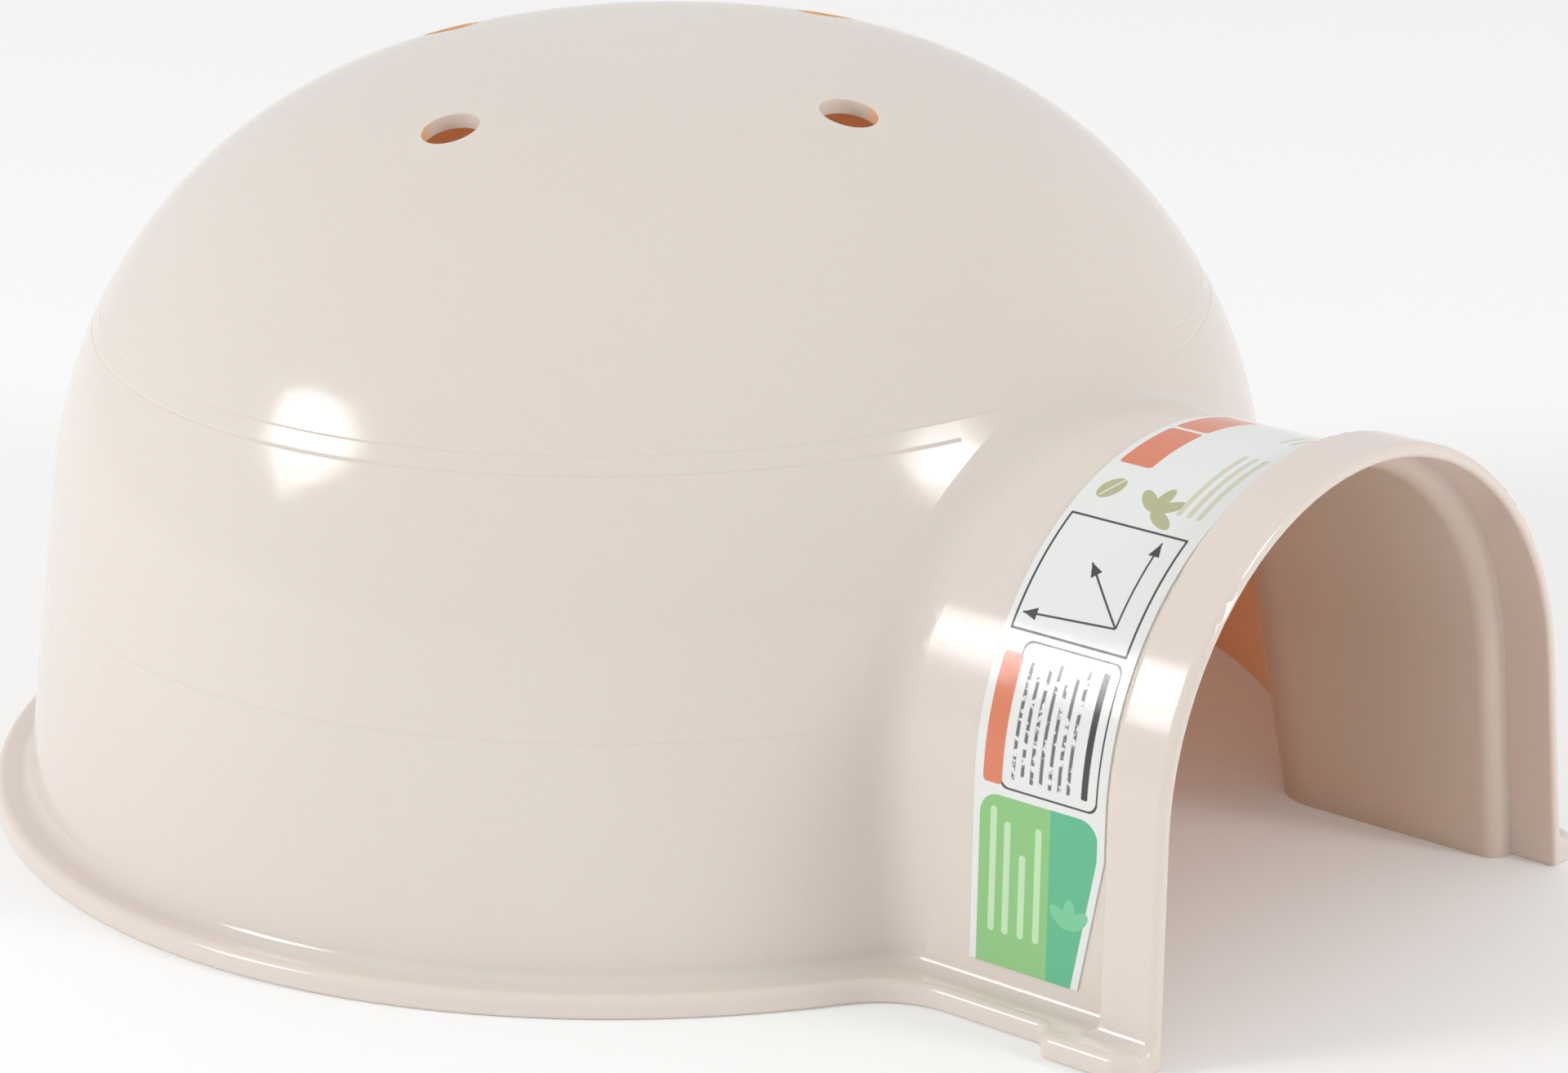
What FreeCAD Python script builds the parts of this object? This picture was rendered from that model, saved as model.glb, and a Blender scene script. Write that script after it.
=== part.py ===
import FreeCAD, Part
import os
import Sketcher
from math import acos, atan2, cos, hypot, pi, radians, sin
from FreeCAD import Placement, Rotation, Vector

# Small-animal igloo: a one-piece moulded plastic dome with a short arched tunnel, and the
# printed film label that wraps over the tunnel.  Millimetres, Z up, tunnel mouth towards -Y.
# The bodies are drawn about the dome axis and then placed so that the whole length is centred.

doc = FreeCAD.newDocument("igloo")
sheet = doc.addObject("Spreadsheet::Sheet", "Sizes")

SIZES = [
    # overall sizes
    ("rim_diameter", 165.0, "width across the rim of the dome"),
    ("total_length", 190.0, "back of the rim to the front of the tunnel"),
    ("total_height", 90.0, "floor to the top of the dome"),
    # shell
    ("wall_thickness", 1.7, "wall of the dome, the tunnel and the collar"),
    ("wall_draft", 8.0, "degrees the straight dome wall leans in"),
    ("wall_share", 0.451, "share of the height taken by the straight wall"),
    ("crown_fullness", 0.98, "nearer 1 is a flatter crown"),
    ("collar_width", 76.7, "outside width of the tunnel mouth at the floor"),
    ("mouth_height", 60.7, "floor to the top of the collar"),
    ("tunnel_draft", 3.8, "degrees the tunnel legs lean in"),
    ("collar_step", 2.6, "how far the collar stands out from the tunnel"),
    ("collar_length", 7.8, "collar along the tunnel, outside"),
    ("recess_depth", 6.3, "collar along the tunnel, inside"),
    ("junction_radius", 6.0, "outside fillet between dome and tunnel"),
    ("collar_hollow_share", 0.62, "fillet behind the collar as a share of the step"),
    ("recess_round_share", 0.92, "rounding inside the collar as a share of the step"),
    ("back_edge_share", 0.45, "rounding of the collar's back edge as a share of the wall"),
    ("outer_edge_share", 0.62, "rounding of rim and outer mouth edge as a share of the wall"),
    ("inner_edge_share", 0.3, "rounding of the inner mouth edge as a share of the wall"),
    # rim
    ("rim_overhang", 3.9, "how far the rim stands out from the wall"),
    ("rim_thickness", 2.8, "height of the rim"),
    ("rim_underside", 0.6, "rounding of the outer bottom edge of the rim"),
    ("rim_cove", 1.6, "hollow fillet between the rim and the wall"),
    ("rim_junction_radius", 12.1, "bend of the rim between dome and tunnel, seen from above"),
    ("rim_jog_setback", 13.3, "front of the tunnel to the middle of the jog in the rim"),
    ("rim_jog_radius", 2.0, "both bends of the jog"),
    ("rim_corner", 3.2, "front corners of the rim, seen from above"),
    # vents and mould marks
    ("vent_diameter", 6.9, "round vent hole"),
    ("vent_ring_radius", 32.5, "dome axis to the vent holes"),
    ("vent_count", 4.0, "vent holes, evenly spaced"),
    ("upper_line_width", 0.3, "upper of two mould lines round the shoulder"),
    ("upper_line_depth", 0.05, "depth of the upper line"),
    ("upper_line_share", 0.672, "height of the upper line as a share of the total"),
    ("lower_line_width", 0.5, "lower of two mould lines round the shoulder"),
    ("lower_line_depth", 0.09, "depth of the lower line"),
    ("lower_line_share", 0.6495, "height of the lower line as a share of the total"),
    ("parting_line_width", 0.4, "parting line round the straight wall"),
    ("parting_line_depth", 0.04, "depth of the parting line"),
    ("parting_line_share", 0.33, "height of the parting line as a share of the total"),
    ("line_end_gap", 4.0, "degrees from the end of a line to the fillet at the tunnel"),
    # label
    ("label_thickness", 0.2, "printed film"),
    ("label_bottom", 5.6, "floor to the ends of the label"),
    ("label_gap", 0.2, "clear of the two fillets on either side"),
    ("label_taper", 3.1, "narrowing of the front edge at each end"),
    ("label_taper_top", 21.0, "floor to the start of the narrowing"),
]

DERIVED = [
    ("rim_radius", "=rim_diameter / 2"),
    ("axis_to_front", "=total_length - rim_radius"),
    ("axis_offset", "=total_length / 2 - rim_radius"),
    ("wall_height", "=total_height * wall_share"),
    ("dome_base", "=rim_radius - rim_overhang"),
    ("dome_waist", "=dome_base - wall_height * tan(wall_draft * 1deg)"),
    ("shoulder_radius", "=(total_height - wall_height) * crown_fullness / (1 - sin(wall_draft * 1deg))"),
    ("inner_wall_height", "=wall_height - wall_thickness * sin(wall_draft * 1deg)"),
    ("inner_base", "=dome_base - wall_thickness / cos(wall_draft * 1deg)"),
    ("inner_waist", "=inner_base - inner_wall_height * tan(wall_draft * 1deg)"),
    ("inner_height", "=total_height - wall_thickness"),
    ("inner_shoulder", "=shoulder_radius - wall_thickness"),
    ("collar_radius", "=(collar_width / 2 - mouth_height * tan(tunnel_draft * 1deg))"
                      " * cos(tunnel_draft * 1deg) / (1 - sin(tunnel_draft * 1deg))"),
    ("arch_centre", "=mouth_height - collar_radius"),
    ("tunnel_radius", "=collar_radius - collar_step"),
    ("recess_radius", "=collar_radius - wall_thickness"),
    ("bore_radius", "=tunnel_radius - wall_thickness"),
    ("label_radius", "=tunnel_radius + label_thickness"),
    ("collar_foot", "=collar_width / 2"),
    ("tunnel_foot", "=collar_foot - collar_step / cos(tunnel_draft * 1deg)"),
    ("recess_foot", "=collar_foot - wall_thickness / cos(tunnel_draft * 1deg)"),
    ("bore_foot", "=tunnel_foot - wall_thickness / cos(tunnel_draft * 1deg)"),
    ("label_foot", "=tunnel_foot + label_thickness / cos(tunnel_draft * 1deg)"),
    ("collar_hollow", "=collar_step * collar_hollow_share"),
    ("recess_rounding", "=collar_step * recess_round_share"),
    ("back_edge", "=wall_thickness * back_edge_share"),
    ("outer_edge", "=wall_thickness * outer_edge_share"),
    ("inner_edge", "=wall_thickness * inner_edge_share"),
    ("collar_back", "=axis_to_front - collar_length"),
    ("recess_back", "=axis_to_front - recess_depth"),
    ("inner_junction", "=junction_radius + wall_thickness"),
    ("rim_narrow", "=tunnel_foot + rim_overhang"),
    ("rim_wide", "=collar_foot + rim_overhang"),
    ("jog_front", "=axis_to_front - rim_jog_setback"
                  " + sqrt(4 * rim_jog_radius * (rim_wide - rim_narrow) - (rim_wide - rim_narrow) ^ 2) / 2"),
    ("wall_bend_end", "=sqrt((dome_base + junction_radius) ^ 2 - (tunnel_foot + junction_radius) ^ 2)"),
    ("rim_bend_end", "=sqrt((rim_radius + rim_junction_radius) ^ 2"
                     " - (rim_narrow + rim_junction_radius) ^ 2)"),
    ("label_back", "=max(wall_bend_end; rim_bend_end) + label_gap"),
    ("label_front", "=collar_back - collar_hollow - label_gap"),
    ("label_length", "=label_front - label_back"),
    ("taper_start", "=label_front - label_taper"),
    ("vent_radius", "=vent_diameter / 2"),
    ("shoulder_x", "=dome_waist - shoulder_radius * cos(wall_draft * 1deg)"),
    ("shoulder_z", "=wall_height - shoulder_radius * sin(wall_draft * 1deg)"),
]

# V-shaped lines cut into the dome: two on the shoulder arc and one on the straight wall;
# past is how far the fillet between dome and tunnel reaches sideways at the height of the line
SHOULDER_LINES = ["upper_line", "lower_line"]
WALL_LINES = ["parting_line"]
ON_SHOULDER = [
    ("_height", "=total_height * #_share"),
    ("_slope", "=asin((#_height - shoulder_z) / shoulder_radius)"),
    ("_face", "=shoulder_x + shoulder_radius * cos(#_slope)"),
    ("_past", "=sqrt(max(0; (tunnel_radius + junction_radius) ^ 2 - (shoulder_z - arch_centre"
              " + (shoulder_radius + junction_radius) * sin(#_slope)) ^ 2))"),
]
ON_WALL = [
    ("_height", "=total_height * #_share"),
    ("_slope", "=wall_draft * 1deg"),
    ("_face", "=dome_base - #_height * tan(#_slope)"),
    ("_past", "=tunnel_foot + junction_radius / cos(tunnel_draft * 1deg)"
              " - (#_height + junction_radius * sin(#_slope)) * tan(tunnel_draft * 1deg)"),
]
LINE_SECTION = [
    ("_deep_across", "=#_face - #_depth * cos(#_slope)"),
    ("_deep_up", "=#_height - #_depth * sin(#_slope)"),
    ("_low_across", "=#_face + #_depth * cos(#_slope) + #_width * sin(#_slope)"),
    ("_low_up", "=#_height + #_depth * sin(#_slope) - #_width * cos(#_slope)"),
    ("_high_across", "=#_face + #_depth * cos(#_slope) - #_width * sin(#_slope)"),
    ("_high_up", "=#_height + #_depth * sin(#_slope) + #_width * cos(#_slope)"),
    ("_turn", "=360 - 2 * (line_end_gap + asin(#_past / (#_face + junction_radius * cos(#_slope))) / 1deg)"),
]
for marks, place in ((SHOULDER_LINES, ON_SHOULDER), (WALL_LINES, ON_WALL)):
    for mark in marks:
        for end, formula in place + LINE_SECTION:
            DERIVED.append((mark + end, formula.replace("#", mark)))

for row, (alias, value, note) in enumerate(SIZES, start=1):
    sheet.set("A%d" % row, note)
    sheet.set("B%d" % row, repr(value))
    sheet.setAlias("B%d" % row, alias)
doc.recompute()
for row, (alias, formula) in enumerate(DERIVED, start=len(SIZES) + 2):
    sheet.set("A%d" % row, alias.replace("_", " "))
    sheet.set("B%d" % row, formula)
    sheet.setAlias("B%d" % row, alias)
    doc.recompute()


def size(alias):
    value = sheet.get(alias)
    return float(getattr(value, "Value", value))


def plane(body, role):
    for feature in body.Origin.OriginFeatures:
        if feature.Role == role:
            return feature
    raise ValueError(role)


def new_sketch(body, name, role, away=None):
    """A sketch on one of the body's own planes; away names how far it is moved off the plane."""
    sketch = body.newObject("Sketcher::SketchObject", name)
    sketch.AttachmentSupport = (plane(body, role), "")
    sketch.MapMode = "FlatFace"
    if away:
        sketch.AttachmentOffset = Placement(Vector(0, 0, size(away)), Rotation())
        sketch.setExpression("AttachmentOffset.Base.z", "Sizes." + away)
    return sketch


def drive(sketch, kind, refs, alias):
    """A dimension of the sketch, bound to a cell of the sheet."""
    index = sketch.addConstraint(Sketcher.Constraint(kind, *refs, size(alias)))
    sketch.renameConstraint(index, "%s_%d" % (alias, index))
    sketch.setExpression("Constraints[%d]" % index, "Sizes." + alias)


def arc(x, y, radius, start, end):
    return Part.ArcOfCircle(Part.Circle(Vector(x, y, 0), Vector(0, 0, 1), radius), start, end)


def line(a, b):
    return Part.LineSegment(Vector(a[0], a[1], 0), Vector(b[0], b[1], 0))


def dome_section(body, name, base, waist, waist_height, height, shoulder):
    """Half section of the dome: straight leaning wall, shoulder arc, crown arc."""
    sketch = new_sketch(body, name, "XZ_Plane")
    r0, r1, z1, top, r2 = (size(a) for a in (base, waist, waist_height, height, shoulder))
    lean = radians(size("wall_draft"))
    cx, cz = r1 - r2 * cos(lean), z1 - r2 * sin(lean)
    crown = (cx ** 2 + (top - cz) ** 2 - r2 ** 2) / (2 * (top - cz - r2))
    meet = atan2(cz - (top - crown), cx)
    join = (crown * cos(meet), top - crown + crown * sin(meet))
    foot, wall, bend, cap, axis = sketch.addGeometry([
        line((0, 0), (r0, 0)),
        line((r0, 0), (r1, z1)),
        arc(cx, cz, r2, lean, meet),
        arc(0, top - crown, crown, meet, pi / 2),
        line((0, top), (0, 0)),
    ])
    for kind, refs in (
            ("Coincident", (foot, 1, -1, 1)), ("Coincident", (foot, 2, wall, 1)),
            ("Horizontal", (foot,)), ("Tangent", (wall, 2, bend, 1)), ("Tangent", (bend, 2, cap, 1)),
            ("Coincident", (cap, 2, axis, 1)), ("Coincident", (axis, 2, foot, 1)),
            ("Vertical", (axis,)), ("PointOnObject", (cap, 3, -2))):
        sketch.addConstraint(Sketcher.Constraint(kind, *refs))
    drive(sketch, "DistanceX", (-1, 1, foot, 2), base)
    drive(sketch, "DistanceX", (-1, 1, wall, 2), waist)
    drive(sketch, "DistanceY", (-1, 1, wall, 2), waist_height)
    drive(sketch, "DistanceY", (-1, 1, cap, 2), height)
    drive(sketch, "Radius", (bend,), shoulder)
    return sketch


def arch_section(body, name, foot, radius, away=None):
    """Round arch on two leaning legs."""
    sketch = new_sketch(body, name, "XZ_Plane", away)
    w, r, zc = size(foot), size(radius), size("arch_centre")
    lean = acos(r / hypot(w, zc)) - atan2(zc, w)
    x, z = r * cos(lean), zc + r * sin(lean)
    base, right, top, left = sketch.addGeometry([
        line((-w, 0), (w, 0)), line((w, 0), (x, z)),
        arc(0, zc, r, lean, pi - lean), line((-x, z), (-w, 0))])
    for kind, refs in (
            ("Symmetric", (base, 1, base, 2, -2)), ("PointOnObject", (base, 1, -1)),
            ("Coincident", (base, 2, right, 1)), ("Tangent", (right, 2, top, 1)),
            ("Tangent", (top, 2, left, 1)), ("Coincident", (left, 2, base, 1)),
            ("PointOnObject", (top, 3, -2))):
        sketch.addConstraint(Sketcher.Constraint(kind, *refs))
    drive(sketch, "DistanceX", (-1, 1, base, 2), foot)
    drive(sketch, "DistanceY", (-1, 1, top, 3), "arch_centre")
    drive(sketch, "Radius", (top,), radius)
    return sketch


def rim_section(body, name):
    """Half outline of the rim, from the back of the dome round to the front of the tunnel."""
    sketch = new_sketch(body, name, "XY_Plane")
    rim, junction, narrow, wide = (size(a) for a in (
        "rim_radius", "rim_junction_radius", "rim_narrow", "rim_wide"))
    front, corner, bend = size("axis_to_front"), size("rim_corner"), size("rim_jog_radius")
    fx, fy = narrow + junction, -size("rim_bend_end")
    touch = atan2(fy, fx)
    turned = acos(1 - (wide - narrow) / (2 * bend))
    jog = -size("jog_front")
    jog_top = jog + 2 * bend * sin(turned)
    dome, cove, side, bend_out, bend_in, leg, corner_arc, face, spine = sketch.addGeometry([
        arc(0, 0, rim, touch, pi / 2),
        arc(fx, fy, junction, pi + touch, pi),
        line((narrow, fy), (narrow, jog_top)),
        arc(narrow + bend, jog_top, bend, pi, pi + turned),
        arc(wide - bend, jog, bend, 0, turned),
        line((wide, jog), (wide, corner - front)),
        arc(wide - corner, corner - front, corner, -pi / 2, 0),
        line((wide - corner, -front), (0, -front)),
        line((0, -front), (0, rim)),
    ])
    for kind, refs in (
            ("Coincident", (dome, 3, -1, 1)), ("Tangent", (dome, 1, cove, 1)),
            ("Tangent", (cove, 2, side, 1)), ("Vertical", (side,)),
            ("Tangent", (side, 2, bend_out, 1)), ("Tangent", (bend_out, 2, bend_in, 2)),
            ("Equal", (bend_out, bend_in)), ("Tangent", (bend_in, 1, leg, 1)), ("Vertical", (leg,)),
            ("Tangent", (leg, 2, corner_arc, 2)), ("Tangent", (corner_arc, 1, face, 1)),
            ("Horizontal", (face,)), ("Coincident", (face, 2, spine, 1)),
            ("PointOnObject", (spine, 1, -2)), ("PointOnObject", (spine, 2, -2)),
            ("Coincident", (spine, 2, dome, 2))):
        sketch.addConstraint(Sketcher.Constraint(kind, *refs))
    drive(sketch, "Radius", (dome,), "rim_radius")
    drive(sketch, "Radius", (cove,), "rim_junction_radius")
    drive(sketch, "DistanceX", (-1, 1, side, 1), "rim_narrow")
    drive(sketch, "Radius", (bend_out,), "rim_jog_radius")
    drive(sketch, "DistanceX", (-1, 1, leg, 1), "rim_wide")
    drive(sketch, "DistanceY", (leg, 1, -1, 1), "jog_front")
    drive(sketch, "Radius", (corner_arc,), "rim_corner")
    drive(sketch, "DistanceY", (face, 1, -1, 1), "axis_to_front")
    return sketch


def pad(body, name, sketch, length):
    feature = body.newObject("PartDesign::Pad", name)
    feature.Profile = sketch
    feature.Length = size(length)
    feature.setExpression("Length", "Sizes." + length)
    doc.recompute()
    return feature


def turn(body, name, sketch, kind="PartDesign::Revolution", angle=360.0):
    feature = body.newObject(kind, name)
    feature.Profile = sketch
    feature.ReferenceAxis = (sketch, ["V_Axis"])
    feature.Angle = angle
    doc.recompute()
    return feature


def edges_of(shape, test):
    """Names of the edges of a shape that pass a test."""
    return ["Edge%d" % n for n, edge in enumerate(shape.Edges, start=1) if test(shape, edge)]


def fillet(body, name, base, test, radius):
    """Round the edges of the base feature that pass the test."""
    feature = body.newObject("PartDesign::Fillet", name)
    feature.Base = (base, edges_of(base.Shape, test))
    feature.Radius = size(radius)
    feature.setExpression("Radius", "Sizes." + radius)
    doc.recompute()
    return feature


def along(edge, count=5):
    first, last = edge.ParameterRange
    return [edge.valueAt(first + (last - first) * k / (count - 1)) for k in range(count)]


def dome_meets_tunnel(shape, edge):
    kinds = {type(face.Surface).__name__ for face in shape.ancestorsOfType(edge, Part.Face)}
    raised = max(p.z for p in along(edge)) > 0.01
    return raised and bool(kinds & {"Cone", "SurfaceOfRevolution", "Toroid", "Sphere"}) \
        and bool(kinds & {"Plane", "Cylinder"})


def off_arch(point, foot, radius):
    """Distance of a point from the arch with this foot and radius."""
    x, z, zc = abs(point.x), point.z, size("arch_centre")
    lean = acos(size(radius) / hypot(size(foot), zc)) - atan2(zc, size(foot))
    if atan2(z - zc, x) > lean:
        return abs(hypot(x, z - zc) - size(radius))
    return abs((x - size(foot)) * cos(lean) + z * sin(lean))


def on_arch(foot, radius, where):
    """Test for edges that follow one arch at one distance in front of the dome axis."""
    def test(shape, edge):
        return all(abs(p.y + size(where)) < 0.01 and off_arch(p, foot, radius) < 0.01
                   for p in along(edge)) and edge.Length > 1
    return test


def form(name, suffix, dome, tunnel, collar, junction, hollow):
    """Dome, tunnel and collar as one solid with the fillet between dome and tunnel."""
    body = doc.addObject("PartDesign::Body", name)
    doc.recompute()
    dome_turn = turn(body, "dome" + suffix, dome_section(body, "dome_line" + suffix, *dome))
    tunnel_pad = pad(body, "tunnel" + suffix, arch_section(body, "tunnel_line" + suffix, *tunnel),
                     "axis_to_front")
    blend = fillet(body, "junction" + suffix, tunnel_pad, dome_meets_tunnel, junction)
    foot, radius, back, depth = collar
    collar_pad = pad(body, "collar" + suffix, arch_section(body, "collar_line" + suffix, foot, radius, back),
                     depth)
    corner = fillet(body, "collar_fillet" + suffix, collar_pad, on_arch(*tunnel, back), hollow)
    return body, corner


shell, latest = form(
    "shell", "_outside",
    ("dome_base", "dome_waist", "wall_height", "total_height", "shoulder_radius"),
    ("tunnel_foot", "tunnel_radius"),
    ("collar_foot", "collar_radius", "collar_back", "collar_length"),
    "junction_radius", "collar_hollow")
hollow, _ = form(
    "hollow", "_inside",
    ("inner_base", "inner_waist", "inner_wall_height", "inner_height", "inner_shoulder"),
    ("bore_foot", "bore_radius"),
    ("recess_foot", "recess_radius", "recess_back", "recess_depth"),
    "inner_junction", "recess_rounding")

# rim all round the foot of the shell
rim_pad = pad(shell, "rim", rim_section(shell, "rim_line"), "rim_thickness")
rim_mirror = shell.newObject("PartDesign::Mirrored", "rim_other_side")
rim_mirror.Originals = [rim_pad]
rim_mirror.MirrorPlane = (plane(shell, "YZ_Plane"), [""])
shell.Tip = rim_mirror
doc.recompute()


def at_height(height, inner):
    """Test for edges of the rim at one height: its foot against the wall, or its outer outline."""
    def test(shape, edge):
        level = all(abs(p.z - size(height)) < 0.01 for p in along(edge))
        front = all(abs(p.y + size("axis_to_front")) < 0.01 for p in along(edge))
        climbs = any(face.BoundBox.ZMax > size(height) + 1 for face in shape.ancestorsOfType(edge, Part.Face))
        return level and not front and climbs == inner
    return test


def rim_foot(shape, edge):
    """Outer outline of the rim on the floor, without the short line across the front."""
    points = along(edge)
    return all(abs(p.z) < 0.01 for p in points) and not all(
        abs(p.y + size("axis_to_front")) < 0.01 for p in points)


# the bead runs on round the front corners and over the mouth of the tunnel
cove = fillet(shell, "rim_cove_fillet", rim_mirror, at_height("rim_thickness", True), "rim_cove")
bead = fillet(shell, "rim_bead_fillet", cove, at_height("rim_thickness", False), "outer_edge")
back_edge = fillet(shell, "collar_back_rounding", bead,
                   on_arch("collar_foot", "collar_radius", "collar_back"), "back_edge")
fillet(shell, "rim_foot_rounding", back_edge, rim_foot, "rim_underside")

# the hollow inside, open at the floor and at the front of the tunnel
cavity = shell.newObject("PartDesign::Boolean", "cavity")
cavity.Type = "Cut"
cavity.setObjects([hollow])
shell.Tip = cavity
doc.recompute()
fillet(shell, "mouth_rounding", cavity,
       on_arch("recess_foot", "recess_radius", "axis_to_front"), "inner_edge")

# vent holes, straight through the crown
vent_line = new_sketch(shell, "vent_line", "XY_Plane")
vent_line.addGeometry(Part.Circle(Vector(0, -size("vent_ring_radius"), 0), Vector(0, 0, 1),
                                  size("vent_radius")))
vent_line.addConstraint(Sketcher.Constraint("PointOnObject", 0, 3, -2))
drive(vent_line, "DistanceY", (0, 3, -1, 1), "vent_ring_radius")
drive(vent_line, "Radius", (0,), "vent_radius")
vent = shell.newObject("PartDesign::Pocket", "vent")
vent.Profile = vent_line
vent.Type = "ThroughAll"
vent.Reversed = True
doc.recompute()
vents = shell.newObject("PartDesign::PolarPattern", "vents")
vents.Originals = [vent]
vents.Axis = (plane(shell, "Z_Axis"), [""])
vents.Angle = 360
vents.Occurrences = int(size("vent_count"))
vents.setExpression("Occurrences", "Sizes.vent_count")
shell.Tip = vents
doc.recompute()


def ring_mark(mark):
    """V-shaped line cut round the dome, left open at the tunnel."""
    sketch = new_sketch(shell, mark + "_section", "YZ_Plane")
    ends = ("_deep", "_low", "_high")
    corners = [(size(mark + end + "_across"), size(mark + end + "_up")) for end in ends]
    for n in range(3):
        sketch.addGeometry(line(corners[n], corners[(n + 1) % 3]))
    for n, end in enumerate(ends):
        sketch.addConstraint(Sketcher.Constraint("Coincident", n, 2, (n + 1) % 3, 1))
        drive(sketch, "DistanceX", (-1, 1, n, 1), mark + end + "_across")
        drive(sketch, "DistanceY", (-1, 1, n, 1), mark + end + "_up")
    groove = turn(shell, mark, sketch, "PartDesign::Groove", size(mark + "_turn"))
    groove.Midplane = True
    groove.setExpression("Angle", "Sizes.%s_turn" % mark)
    doc.recompute()


for mark in SHOULDER_LINES + WALL_LINES:
    ring_mark(mark)

# film label: a strip over the tunnel, cut off above the floor and narrowed at both ends
label = doc.addObject("PartDesign::Body", "label")
doc.recompute()
pad(label, "film", arch_section(label, "film_line", "label_foot", "label_radius", "label_back"),
    "label_length")
under = label.newObject("PartDesign::Pocket", "film_inside")
under.Profile = arch_section(label, "film_inside_line", "tunnel_foot", "tunnel_radius", "label_back")
under.Type = "ThroughAll"
under.Reversed = True
doc.recompute()
ends_line = new_sketch(label, "film_ends_line", "YZ_Plane")
back, front, bottom = -size("label_back"), -size("label_front"), size("label_bottom")
corners = [(back, 0), (back, bottom), (-size("taper_start"), bottom), (front, size("label_taper_top")),
           (front, 0)]
for start, end in zip(corners, corners[1:] + corners[:1]):
    ends_line.addGeometry(line(start, end))
for n in range(len(corners)):
    ends_line.addConstraint(Sketcher.Constraint("Coincident", n, 2, (n + 1) % len(corners), 1))
for kind, side in (("Vertical", 0), ("Horizontal", 1), ("Vertical", 3), ("Horizontal", 4)):
    ends_line.addConstraint(Sketcher.Constraint(kind, side))
ends_line.addConstraint(Sketcher.Constraint("PointOnObject", 0, 1, -1))
drive(ends_line, "DistanceX", (0, 1, -1, 1), "label_back")
drive(ends_line, "DistanceY", (-1, 1, 1, 1), "label_bottom")
drive(ends_line, "DistanceX", (2, 1, -1, 1), "taper_start")
drive(ends_line, "DistanceX", (3, 1, -1, 1), "label_front")
drive(ends_line, "DistanceY", (-1, 1, 3, 1), "label_taper_top")
ends = label.newObject("PartDesign::Pocket", "film_ends")
ends.Profile = ends_line
ends.Type = "ThroughAll"
ends.Midplane = True
doc.recompute()

NODES = [shell, label]
for node in NODES:
    node.Placement = Placement(Vector(0, size("axis_offset"), 0), Rotation())
    node.setExpression("Placement.Base.y", "Sizes.axis_offset")
doc.recompute()

faults = [o.Name for o in doc.Objects if "Invalid" in o.State or "Error" in o.State]
faults += [node.Label for node in NODES if node.Shape.isNull() or not node.Shape.isValid()]
if faults:
    raise RuntimeError("not sound: " + ", ".join(faults))

os.makedirs("parts", exist_ok=True)
for node in NODES:
    node.Shape.exportStep("parts/%s.step" % node.Label)
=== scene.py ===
from math import atan2, cos, hypot, pi, radians, sin

import bpy
from mathutils import Matrix, Vector


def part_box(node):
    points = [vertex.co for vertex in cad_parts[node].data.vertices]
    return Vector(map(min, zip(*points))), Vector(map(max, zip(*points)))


MM = 0.001

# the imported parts, and the sizes the looks are worked out from
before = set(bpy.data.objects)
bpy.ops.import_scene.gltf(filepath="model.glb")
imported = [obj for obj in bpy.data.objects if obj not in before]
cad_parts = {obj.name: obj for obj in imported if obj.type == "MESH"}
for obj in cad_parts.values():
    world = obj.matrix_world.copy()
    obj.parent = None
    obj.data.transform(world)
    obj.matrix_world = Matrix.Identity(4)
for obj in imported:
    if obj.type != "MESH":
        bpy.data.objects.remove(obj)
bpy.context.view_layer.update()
shell_low, shell_high = (Vector(corner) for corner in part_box("shell"))
label_low, label_high = (Vector(corner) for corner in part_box("label"))
RIM_RADIUS = (shell_high.x - shell_low.x) / 2
DOME_AXIS = Vector((0, shell_high.y - RIM_RADIUS, 0))

# camera: long lens, front left and a little above
CAMERA_TURN = radians(-47.45)
CAMERA_RISE = radians(19.33)
CAMERA_ROLL = radians(-1.55)
CAMERA_DISTANCE = 715.0 * MM
CAMERA_AIM = DOME_AXIS + Vector((-1.85, -22.27, 33.23)) * MM
CAMERA_LENS = 137.53

# the arch that the label is wrapped over, in millimetres
ARCH_LEAN = radians(3.8)
ARCH_TOP = label_high.z / MM
ARCH_RADIUS = 34.27
ARCH_CENTRE = ARCH_TOP - ARCH_RADIUS
LEG_TOP = ARCH_CENTRE + ARCH_RADIUS * sin(ARCH_LEAN)
LEG_LENGTH = LEG_TOP / cos(ARCH_LEAN)

# the film laid flat, in millimetres: its lower end, and its front edge with the taper at each end
FILM_BOTTOM = label_low.z / MM
FILM_TAPER = 3.1
FILM_TAPER_TOP = 21.0

# where the tunnel's painted inside shade takes over from the dome's, and how far in from the mouth the
# painted shade stays weaker, where daylight reaches in
TUNNEL_START = DOME_AXIS.y - 58 * MM
TUNNEL_FULL = DOME_AXIS.y - 68 * MM
DAYLIGHT_REACH = 20 * MM

# plastic
IVORY = (0.745, 0.682, 0.618, 1)
IVORY_DEEP = (0.740, 0.660, 0.605, 1)
# painted highlight: a lighter ivory for sharp convex edges, standing in for edge highlights
IVORY_PAINTED_EDGE_HIGHLIGHT = (0.82, 0.77, 0.70, 1)
# painted shade: the inside of the dome and of the tunnel is painted tan to orange, standing in for shade and
# warm light between the walls
DOME_INSIDE_PAINTED_SHADE = (0.84, 0.52, 0.26, 1)
TUNNEL_INSIDE_PAINTED_SHADE = (0.69, 0.55, 0.44, 1)
# painted glow: a faint orange emission inside the dome, standing in for light through the wall
PAINTED_GLOW_COLOUR = (1.0, 0.33, 0.09, 1)
PAINTED_GLOW_STRENGTH = 0.05
PLASTIC_IOR = 1.49
PLASTIC_RIPPLE = 0.01 * MM

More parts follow.
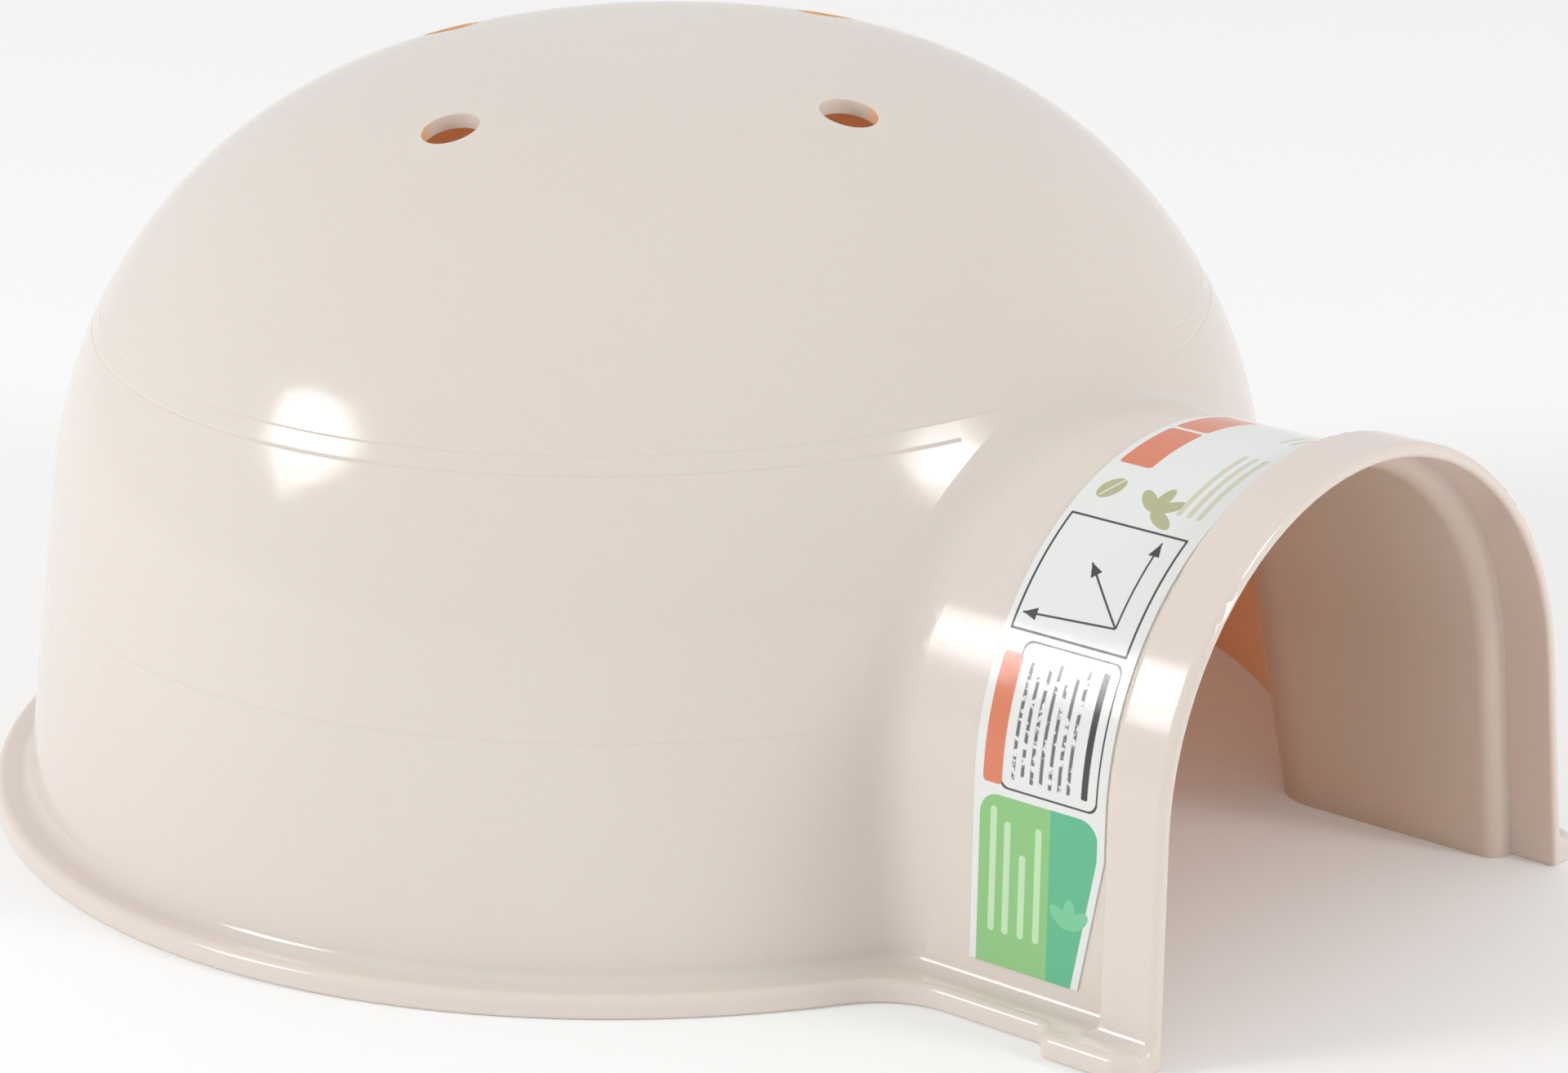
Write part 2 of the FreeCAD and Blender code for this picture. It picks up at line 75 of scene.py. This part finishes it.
# film and printing inks
FILM_IOR = 1.5
FILM_RIPPLE = 0.04 * MM
FILM = (0.80, 0.82, 0.80, 1)
INK = (0.055, 0.055, 0.06, 1)
FINE_INK = (0.16, 0.16, 0.17, 1)
LIGHT_GREEN = (0.27, 0.57, 0.22, 1)
TEAL = (0.115, 0.49, 0.275, 1)
PALE_GREEN = (0.55, 0.78, 0.48, 1)
PALE_TEAL = (0.20, 0.60, 0.33, 1)
AMBER = (0.72, 0.22, 0.12, 1)
OLIVE = (0.46, 0.47, 0.27, 1)
BEIGE = (0.66, 0.64, 0.50, 1)

# studio: strength of the white room away from the camera and towards it, and two softboxes, each an
# oval with a square standing on its corner just below it; a lamp's row gives its turn and rise in
# degrees, its width and height in metres, its shape, and its roll in degrees
ROOM_BRIGHT = 0.78
ROOM_DIM = 0.62
LAMP_GLOW = 8.0
LAMP_DISTANCE = 1.0
LAMP_AIM = DOME_AXIS + Vector((0, 0, 50 * MM))
LAMPS = {
    "left_softbox": (-121.5, 29.0, 0.36, 0.20, "ELLIPSE", 0.0),
    "left_softbox_foot": (-121.5, 24.0, 0.25, 0.25, "RECTANGLE", 45.0),
    "right_softbox": (12.5, 26.0, 0.28, 0.20, "ELLIPSE", 0.0),
    "right_softbox_foot": (12.5, 21.0, 0.20, 0.20, "RECTANGLE", 45.0),
}


def direction(turn, rise):
    """Unit vector towards a compass turn from -Y (positive towards +X) and a rise above the floor."""
    return Vector((sin(turn) * cos(rise), -cos(turn) * cos(rise), sin(rise)))


def look(place, aim, roll=0.0):
    """Matrix of a camera or light at a place, facing an aim point."""
    back = (place - aim).normalized()
    right = Vector((0, 0, 1)).cross(back).normalized()
    up = back.cross(right)
    turned_right = cos(roll) * right + sin(roll) * up
    turned_up = cos(roll) * up - sin(roll) * right
    axes = Matrix((turned_right, turned_up, back)).transposed().to_4x4()
    return Matrix.Translation(place) @ axes


def add_camera():
    data = bpy.data.cameras.new("camera")
    data.sensor_width = 36
    data.lens = CAMERA_LENS
    data.clip_start = 0.01
    data.clip_end = 50
    camera = bpy.data.objects.new("camera", data)
    bpy.context.collection.objects.link(camera)
    place = CAMERA_AIM + CAMERA_DISTANCE * direction(CAMERA_TURN, CAMERA_RISE)
    camera.matrix_world = look(place, CAMERA_AIM, CAMERA_ROLL)
    bpy.context.scene.camera = camera


def add_lamp(name, turn, rise, width, height, shape, roll):
    """Softbox that faces the dome; its glow is how much brighter than white paper its front is."""
    data = bpy.data.lights.new(name, "AREA")
    data.shape = shape
    data.size = width
    data.size_y = height
    area = width * height * (pi / 4 if shape == "ELLIPSE" else 1)
    data.energy = LAMP_GLOW * pi * area
    lamp = bpy.data.objects.new(name, data)
    bpy.context.collection.objects.link(lamp)
    place = LAMP_AIM + LAMP_DISTANCE * direction(radians(turn), radians(rise))
    lamp.matrix_world = look(place, LAMP_AIM, radians(roll))


def add_world(bright, dim):
    """White studio that falls off from bright to dim on the side where the photographer stands."""
    world = bpy.data.worlds.new("studio")
    world.use_nodes = True
    nodes, links = world.node_tree.nodes, world.node_tree.links
    background = nodes["Background"]
    background.inputs["Color"].default_value = (1.0, 1.0, 1.0, 1)
    facing = nodes.new("ShaderNodeVectorMath")
    facing.operation = "DOT_PRODUCT"
    facing.inputs[1].default_value = direction(CAMERA_TURN, 0.0)
    links.new(nodes.new("ShaderNodeTexCoord").outputs["Generated"], facing.inputs[0])
    fall = nodes.new("ShaderNodeMapRange")
    fall.interpolation_type = "SMOOTHSTEP"
    for name, value in (("From Min", 0.1), ("From Max", 1.0), ("To Min", bright), ("To Max", dim)):
        fall.inputs[name].default_value = value
    links.new(facing.outputs["Value"], fall.inputs["Value"])
    links.new(fall.outputs["Result"], background.inputs["Strength"])
    bpy.context.scene.world = world


class Nodes:
    """Short forms for building a material's node tree."""

    def __init__(self, name):
        self.material = bpy.data.materials.new(name)
        self.material.use_nodes = True
        self.tree = self.material.node_tree
        self.shader = self.tree.nodes["Principled BSDF"]

    def add(self, kind, **values):
        node = self.tree.nodes.new(kind)
        for key, value in values.items():
            setattr(node, key, value)
        return node

    def link(self, source, target):
        self.tree.links.new(source, target)

    def value(self, source, target):
        """Feeds a socket from another socket or from a plain number or colour."""
        if isinstance(source, bpy.types.NodeSocket):
            self.link(source, target)
        else:
            target.default_value = source

    def math(self, operation, a, b=0.0):
        node = self.add("ShaderNodeMath", operation=operation)
        self.value(a, node.inputs[0])
        self.value(b, node.inputs[1])
        return node.outputs[0]

    def vector(self, operation, a, b=(0.0, 0.0, 0.0)):
        node = self.add("ShaderNodeVectorMath", operation=operation)
        self.value(a, node.inputs[0])
        self.value(b, node.inputs[1])
        return node.outputs["Value" if operation in ("LENGTH", "DOT_PRODUCT") else "Vector"]

    def parts(self, vector):
        node = self.add("ShaderNodeSeparateXYZ")
        self.link(vector, node.inputs[0])
        return node.outputs

    def join(self, x, y, z):
        node = self.add("ShaderNodeCombineXYZ")
        for source, target in zip((x, y, z), node.inputs):
            self.value(source, target)
        return node.outputs[0]

    def mix(self, factor, a, b):
        node = self.add("ShaderNodeMix", data_type="RGBA")
        self.value(factor, node.inputs["Factor"])
        self.value(a, node.inputs["A"])
        self.value(b, node.inputs["B"])
        return node.outputs["Result"]

    def noise(self, vector, scale, detail=3.0, roughness=0.5):
        node = self.add("ShaderNodeTexNoise")
        self.link(vector, node.inputs["Vector"])
        node.inputs["Scale"].default_value = scale
        node.inputs["Detail"].default_value = detail
        node.inputs["Roughness"].default_value = roughness
        return node.outputs["Fac"]

    def spread(self, source, low, high, out_low, out_high):
        node = self.add("ShaderNodeMapRange")
        self.link(source, node.inputs["Value"])
        for name, value in (("From Min", low), ("From Max", high), ("To Min", out_low), ("To Max", out_high)):
            node.inputs[name].default_value = value
        return node.outputs["Result"]

    def bump(self, height, distance):
        node = self.add("ShaderNodeBump")
        node.inputs["Distance"].default_value = distance
        self.link(height, node.inputs["Height"])
        self.link(node.outputs["Normal"], self.shader.inputs["Normal"])


def inside_of_shell(n, place):
    """How far a point belongs to the inside of the shell, where shade is painted (weaker near the mouth), and
    whether it is in the tunnel.
    """
    x, y, z = n.parts(place)
    tunnel = n.spread(y, TUNNEL_START, TUNNEL_FULL, 0.0, 1.0)
    from_axis = n.math("MULTIPLY", n.math("SUBTRACT", y, DOME_AXIS.y), n.math("SUBTRACT", 1.0, tunnel))
    outward = n.join(x, from_axis, z)
    normal = n.add("ShaderNodeNewGeometry").outputs["Normal"]
    inside = n.spread(n.vector("DOT_PRODUCT", outward, normal), -0.012, 0.0, 1.0, 0.0)
    near_mouth = n.spread(y, shell_low.y, shell_low.y + DAYLIGHT_REACH, 0.35, 1.0)
    return n.math("MULTIPLY", inside, near_mouth), tunnel


def shell_material():
    """Glossy ivory plastic with a little subsurface light; the inside is painted tan to orange as painted
    shade with a faint painted glow, and sharp edges carry a painted highlight.
    """
    n = Nodes("ivory_plastic")
    place = n.add("ShaderNodeTexCoord").outputs["Object"]
    broad = n.noise(place, 14.0, 2.0)
    fine = n.noise(place, 420.0, 3.0, 0.6)
    ripple = n.noise(place, 60.0, 2.0)
    ivory = n.mix(n.spread(broad, 0.35, 0.65, 0.0, 1.0), IVORY, IVORY_DEEP)
    inside, tunnel = inside_of_shell(n, place)
    # painted shade: the inside is painted tan to orange by position and facing
    ivory_with_painted_shade = n.mix(inside, ivory, n.mix(tunnel, DOME_INSIDE_PAINTED_SHADE, TUNNEL_INSIDE_PAINTED_SHADE))
    # painted glow: the inside of the dome glows faintly orange
    glow_under_dome = n.math("MULTIPLY", inside, n.math("SUBTRACT", 1.0, tunnel))
    n.shader.inputs["Emission Color"].default_value = PAINTED_GLOW_COLOUR
    n.link(n.math("MULTIPLY", glow_under_dome, PAINTED_GLOW_STRENGTH), n.shader.inputs["Emission Strength"])
    # painted highlight: sharp convex edges are painted lighter
    painted_edge_highlight = n.spread(n.add("ShaderNodeNewGeometry").outputs["Pointiness"], 0.56, 0.64, 0.0, 0.35)
    n.link(n.mix(painted_edge_highlight, ivory_with_painted_shade, IVORY_PAINTED_EDGE_HIGHLIGHT), n.shader.inputs["Base Color"])
    n.link(n.spread(fine, 0.3, 0.7, 0.10, 0.17), n.shader.inputs["Roughness"])
    n.shader.inputs["IOR"].default_value = PLASTIC_IOR
    n.shader.inputs["Subsurface Weight"].default_value = 0.25
    n.shader.inputs["Subsurface Radius"].default_value = (1.0, 0.4, 0.15)
    n.shader.inputs["Subsurface Scale"].default_value = 0.003
    n.bump(ripple, PLASTIC_RIPPLE)
    return n.material


class Print(Nodes):
    """A label print: shapes laid out in millimetres up and across the film."""

    SOFT_EDGE = 0.05

    def __init__(self, name, paper, colour):
        super().__init__(name)
        self.colour = colour
        self.paper = paper(self)

    def local(self, up, across, turn=0.0, stretch=(1.0, 1.0)):
        """The paper as seen from a shape's own middle, turned and stretched."""
        node = self.add("ShaderNodeMapping", vector_type="TEXTURE")
        self.link(self.paper, node.inputs["Vector"])
        node.inputs["Location"].default_value = (up, across, 0)
        node.inputs["Rotation"].default_value = (0, 0, turn)
        node.inputs["Scale"].default_value = (stretch[0], stretch[1], 1)
        return node.outputs[0]

    def box(self, up, across, turn=0.0, rounding=0.1):
        """Distance from a rounded box that covers a range up and a range across."""
        half = ((up[1] - up[0]) / 2, (across[1] - across[0]) / 2)
        middle = (sum(up) / 2, sum(across) / 2)
        corner = self.vector("ABSOLUTE", self.local(*middle, turn))
        beyond = self.vector("SUBTRACT", corner, (half[0] - rounding, half[1] - rounding, 0))
        outside = self.vector("MAXIMUM", beyond, (0, 0, 0))
        return self.math("SUBTRACT", self.vector("LENGTH", outside), rounding)

    def stroke(self, start, end, width):
        """Distance from a straight line between two points."""
        run = (end[0] - start[0], end[1] - start[1])
        half = hypot(*run) / 2
        middle = ((start[0] + end[0]) / 2, (start[1] + end[1]) / 2)
        return self.box((middle[0] - half, middle[0] + half), (middle[1] - width / 2, middle[1] + width / 2),
                        atan2(run[1], run[0]), width * 0.4)

    def oval(self, up, across, length, width, turn):
        """Distance, roughly, from an oval leaf."""
        inside = self.vector("LENGTH", self.local(up, across, turn, (length / 2, width / 2)))
        return self.math("MULTIPLY", self.math("SUBTRACT", inside, 1.0), width / 2)

    def arrow_head(self, tip, turn, length, half_width):
        """Distance, roughly, from a triangle that ends at its tip."""
        x, y, _ = self.parts(self.local(*tip, turn))
        slope = half_width / length
        side = self.math("ADD", self.math("ABSOLUTE", y), self.math("MULTIPLY", x, slope))
        return self.math("MAXIMUM", side, self.math("SUBTRACT", self.math("MULTIPLY", x, -1.0), length))

    def outline(self, up, across, width, rounding):
        """Distance from a thin line drawn just inside the edge of a rounded box."""
        within = self.box((up[0] + width, up[1] - width), (across[0] + width, across[1] - width),
                          rounding=rounding)
        return self.both(self.box(up, across, rounding=rounding), self.math("MULTIPLY", within, -1.0))

    def both(self, first, second):
        return self.math("MAXIMUM", first, second)

    def ink(self, distance, colour):
        """Prints a colour where the distance is below zero."""
        cover = self.spread(distance, -self.SOFT_EDGE, self.SOFT_EDGE, 1.0, 0.0)
        self.colour = self.mix(cover, self.colour, colour)


def label_paper(n):
    """Millimetres up the film from the floor on either side, and across it from the dome."""
    place = n.vector("MULTIPLY", n.add("ShaderNodeTexCoord").outputs["Object"], (1 / MM, 1 / MM, 1 / MM))
    x, y, z = n.parts(place)
    bearing = n.math("ARCTAN2", n.math("SUBTRACT", z, ARCH_CENTRE), n.math("ABSOLUTE", x))
    past_leg = n.math("MULTIPLY", n.math("SUBTRACT", bearing, ARCH_LEAN), ARCH_RADIUS)
    over_arch = n.math("ADD", past_leg, LEG_LENGTH)
    up_leg = n.math("DIVIDE", z, cos(ARCH_LEAN))
    above = n.math("GREATER_THAN", z, LEG_TOP)
    climb = n.math("SUBTRACT", over_arch, up_leg)
    up = n.math("ADD", up_leg, n.math("MULTIPLY", above, climb))
    across = n.math("SUBTRACT", label_high.y / MM, y)
    return n.join(up, across, 0.0)


def label_material():
    """Printed film with plain fields, bars, a size pictogram and leaves."""
    n = Print("label_print", label_paper, FILM)
    up, across, _ = n.parts(n.paper)

    # two-tone field at the foot, cut back along the tapered front edge
    taper = n.spread(up, FILM_BOTTOM, FILM_TAPER_TOP, FILM_TAPER, 0.0)
    from_front = n.math("SUBTRACT", n.math("ADD", across, taper), 17.5)
    field = n.both(n.box((-8.0, 25.4), (0.9, 17.6), rounding=2.6), from_front)
    teal_side = n.math("SUBTRACT", 10.9, across)
    n.ink(field, LIGHT_GREEN)
    n.ink(n.both(field, teal_side), TEAL)
    for middle, bar_top in ((2.9, 24.0), (4.9, 22.6), (7.1, 19.2), (9.3, 22.8)):
        n.ink(n.box((9.5, bar_top), (middle - 0.45, middle + 0.45), rounding=0.4), PALE_GREEN)
    for turn in (-0.9, 0.0, 0.9):
        n.ink(n.oval(12.5 + 1.6 * cos(turn), 13.9 + 1.6 * sin(turn), 3.4, 1.7, turn), PALE_TEAL)

    # fine print panel: ruled bars broken into dashes
    n.ink(n.outline((26.3, 43.1), (3.5, 17.3), 0.24, 1.2), INK)
    speckle = n.noise(n.vector("MULTIPLY", n.paper, (1.0, 0.62, 1.0)), 1.3, 1.0)
    gaps = n.math("MULTIPLY", n.math("SUBTRACT", speckle, 0.43), -1.0)
    for line, middle in enumerate((5.4, 6.7, 8.0, 9.3, 10.6, 11.9, 13.2)):
        end = 41.6 - 1.1 * (line * 5 % 3)
        n.ink(n.both(n.box((27.6, end), (middle - 0.24, middle + 0.24)), gaps), FINE_INK)
    n.ink(n.box((27.6, 41.8), (15.0, 15.9), rounding=0.2), INK)
    n.ink(n.box((26.6, 41.4), (1.2, 3.9), rounding=0.5), AMBER)

    # size pictogram: outlined box and three arrows from one corner
    n.ink(n.outline((43.8, 59.1), (0.8, 17.2), 0.3, 0.15), INK)
    corner = (46.7, 14.3)
    for tip in ((45.9, 1.7), (53.4, 7.4), (57.9, 14.3)):
        turn = atan2(tip[1] - corner[1], tip[0] - corner[0])
        n.ink(n.stroke(corner, tip, 0.26), INK)
        n.ink(n.arrow_head(tip, turn, 1.9, 0.75), INK)

    # leaves and bars near the top
    n.ink(n.oval(63.6, 3.2, 3.8, 2.6, 0.5), OLIVE)
    n.ink(n.stroke((62.2, 2.5), (65.6, 4.2), 0.2), FILM)
    for turn in (-0.8, 0.1, 1.0, 2.1):
        n.ink(n.oval(61.8 + 1.9 * cos(turn), 10.3 + 1.9 * sin(turn), 4.0, 1.7, turn), OLIVE)
    for middle in (13.6, 15.0, 16.4):
        n.ink(n.box((62.0, 75.0), (middle - 0.35, middle + 0.35), rounding=0.3), BEIGE)
    n.ink(n.box((68.0, 77.6), (0.9, 5.4), rounding=0.5), AMBER)
    n.link(n.colour, n.shader.inputs["Base Color"])

    n.link(n.spread(n.noise(n.paper, 1.4, 3.0, 0.6), 0.3, 0.7, 0.12, 0.22), n.shader.inputs["Roughness"])
    n.shader.inputs["IOR"].default_value = FILM_IOR
    n.bump(n.noise(n.paper, 0.25, 2.0), FILM_RIPPLE)
    return n.material


def add_floor():
    """Plain pale floor."""
    half = 6.0
    mesh = bpy.data.meshes.new("floor")
    corners = [(-half, -half, 0), (half, -half, 0), (half, half, 0), (-half, half, 0)]
    mesh.from_pydata(corners, [], [(0, 1, 2, 3)])
    floor = bpy.data.objects.new("floor", mesh)
    bpy.context.collection.objects.link(floor)
    n = Nodes("floor_white")
    n.shader.inputs["Base Color"].default_value = (0.92, 0.92, 0.92, 1)
    n.shader.inputs["Roughness"].default_value = 0.8
    n.shader.inputs["Emission Color"].default_value = (1, 1, 1, 1)
    n.shader.inputs["Emission Strength"].default_value = 0.08
    floor.data.materials.append(n.material)


def dress(node, material):
    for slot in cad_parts[node].material_slots:
        slot.material = material


dress("shell", shell_material())
dress("label", label_material())
add_floor()
add_camera()
bpy.context.scene.view_settings.view_transform = "Standard"
add_world(ROOM_BRIGHT, ROOM_DIM)
for name, lamp in LAMPS.items():
    add_lamp(name, *lamp)
